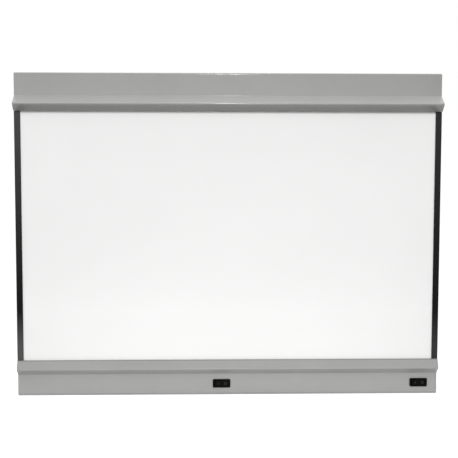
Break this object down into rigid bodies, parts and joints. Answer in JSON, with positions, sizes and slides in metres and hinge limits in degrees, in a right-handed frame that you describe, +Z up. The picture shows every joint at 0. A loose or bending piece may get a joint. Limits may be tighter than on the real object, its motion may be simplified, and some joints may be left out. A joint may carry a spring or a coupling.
{
  "type": "x-ray film viewer",
  "caption": "Wall-hung light box for viewing x-ray films: opal screen, folded top cover with roller film grip, film lip, rocker switches and lamps inside.",
  "frame": {"origin": "middle of the pan's flat back face, which lies against the wall", "axes": "+X to the viewer's right seen from the front, +Y into the wall, +Z up; the front faces -Y"},
  "size_m": [0.742, 0.1117, 0.566],
  "materials": {
    "cover_paint": "silver-grey semi-gloss stoving paint",
    "pan_paint": "light grey paint",
    "side_black": "gloss black",
    "opal_screen": "opal acrylic, polished",
    "rubber": "matt",
    "white_paint": "matt white paint",
    "rail_metal": "mill finish",
    "ballast_case": "white paint",
    "terminal_plastic": "ivory",
    "brass": "plain",
    "switch_black": "satin black",
    "rocker_black": "gloss black",
    "plated": "tin plated",
    "zinc": "zinc plated",
    "black_screw": "black oxide",
    "wire_sleeve_dark": "flexible sleeve",
    "wire_sleeve_white": "flexible sleeve",
    "clip_nylon": "natural nylon",
    "lamp_glass": "white phosphor-coated glass",
    "cap_metal": "satin",
    "holder_plastic": "white",
    "roller_metal": "turned"
  },
  "bodies": {
    "housing": {"back_pan": "pan_paint", "top_cover": "cover_paint", "bottom_cover": "cover_paint", "left_side_panel": "side_black", "right_side_panel": "side_black", "screen": "opal_screen", "screen_cushion": "rubber", "left_reflector": "white_paint", "right_reflector": "white_paint", "centre_divider": "white_paint", "grip_rail": "rail_metal", "lamp_tube_1": "lamp_glass", "lamp_tube_2": "lamp_glass", "lamp_tube_3": "lamp_glass", "lamp_tube_4": "lamp_glass", "lamp_caps_1": "cap_metal", "lamp_caps_2": "cap_metal", "lamp_caps_3": "cap_metal", "lamp_caps_4": "cap_metal", "lamp_pins": "brass", "top_lampholder_1": "holder_plastic", "top_lampholder_2": "holder_plastic", "top_lampholder_3": "holder_plastic", "top_lampholder_4": "holder_plastic", "bottom_lampholder_1": "holder_plastic", "bottom_lampholder_2": "holder_plastic", "bottom_lampholder_3": "holder_plastic", "bottom_lampholder_4": "holder_plastic", "left_ballast": "ballast_case", "right_ballast": "ballast_case", "terminal_block": "terminal_plastic", "terminal_screws": "brass", "mains_inlet": "switch_black", "inlet_blades": "plated", "inlet_screws": "zinc", "centre_switch_body": "switch_black", "right_switch_body": "switch_black", "switch_tabs": "plated", "cover_screws": "zinc", "side_screws": "black_screw", "pan_nuts": "zinc", "rail_nuts": "zinc", "mains_wiring": "wire_sleeve_dark", "left_lamp_wiring": "wire_sleeve_white", "right_lamp_wiring": "wire_sleeve_white", "cable_clips": "clip_nylon"},
    "centre_rocker": {"centre_rocker": "rocker_black"},
    "right_rocker": {"right_rocker": "rocker_black"},
    "film_roller_1": {"film_roller_1": "roller_metal"},
    "film_roller_2": {"film_roller_2": "roller_metal"},
    "film_roller_3": {"film_roller_3": "roller_metal"},
    "film_roller_4": {"film_roller_4": "roller_metal"},
    "film_roller_5": {"film_roller_5": "roller_metal"},
    "film_roller_6": {"film_roller_6": "roller_metal"},
    "film_roller_7": {"film_roller_7": "roller_metal"},
    "film_roller_8": {"film_roller_8": "roller_metal"}
  },
  "joints": [
    {"name": "centre_rocker_turn", "type": "hinge", "parent": "housing", "child": "centre_rocker", "pos_m": [-0.0125, -0.087, -0.2625], "axis": [0, 0, -1], "range_deg": [0, 18]},
    {"name": "right_rocker_turn", "type": "hinge", "parent": "housing", "child": "right_rocker", "pos_m": [0.338, -0.087, -0.2625], "axis": [0, 0, -1], "range_deg": [0, 18]},
    {"name": "film_roller_1_lift", "type": "slide", "parent": "housing", "child": "film_roller_1", "axis": [0, -0.342, 0.9397], "range_m": [0, 0.0045]},
    {"name": "film_roller_2_lift", "type": "slide", "parent": "housing", "child": "film_roller_2", "axis": [0, -0.342, 0.9397], "range_m": [0, 0.0045]},
    {"name": "film_roller_3_lift", "type": "slide", "parent": "housing", "child": "film_roller_3", "axis": [0, -0.342, 0.9397], "range_m": [0, 0.0045]},
    {"name": "film_roller_4_lift", "type": "slide", "parent": "housing", "child": "film_roller_4", "axis": [0, -0.342, 0.9397], "range_m": [0, 0.0045]},
    {"name": "film_roller_5_lift", "type": "slide", "parent": "housing", "child": "film_roller_5", "axis": [0, -0.342, 0.9397], "range_m": [0, 0.0045]},
    {"name": "film_roller_6_lift", "type": "slide", "parent": "housing", "child": "film_roller_6", "axis": [0, -0.342, 0.9397], "range_m": [0, 0.0045]},
    {"name": "film_roller_7_lift", "type": "slide", "parent": "housing", "child": "film_roller_7", "axis": [0, -0.342, 0.9397], "range_m": [0, 0.0045]},
    {"name": "film_roller_8_lift", "type": "slide", "parent": "housing", "child": "film_roller_8", "axis": [0, -0.342, 0.9397], "range_m": [0, 0.0045]}
  ]
}
